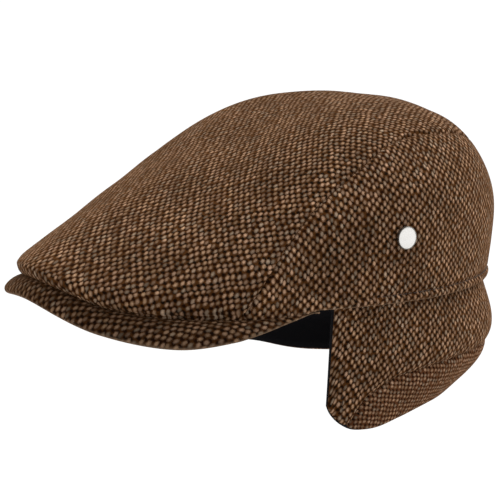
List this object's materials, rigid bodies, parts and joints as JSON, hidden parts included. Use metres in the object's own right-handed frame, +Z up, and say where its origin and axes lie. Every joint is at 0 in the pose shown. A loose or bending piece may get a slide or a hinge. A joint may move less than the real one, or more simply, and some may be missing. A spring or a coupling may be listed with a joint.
{
  "type": "flat cap",
  "caption": "Tweed flat cap with a stiff duckbill peak, a deep flap turned down round the ears and nape, a dark lining and a plain round badge on its side.",
  "frame": {"origin": "middle of the head opening, on the line where the crown's hem meets the flap, where the cap sits round the head", "axes": "+Z up through the crown, -Y towards the peak, +X towards the wearer's left, where the badge is"},
  "size_m": [0.1967, 0.259, 0.152],
  "materials": {
    "crown_tweed": "matt tweed, tan flecks on a near-black brown ground",
    "peak_tweed": "the same tweed over a stiff board",
    "flap_tweed": "the same tweed",
    "lining_cloth": "plain black, soft",
    "badge_enamel": "white enamel face with a thin dark rim, glossy"
  },
  "bodies": {
    "root": {"crown_top": "crown_tweed", "side_panel_left": "crown_tweed", "side_panel_right": "crown_tweed", "peak": "peak_tweed", "ear_flap": "flap_tweed", "flap_band": "flap_tweed", "flap_lining": "lining_cloth", "badge": "badge_enamel"}
  },
  "joints": []
}
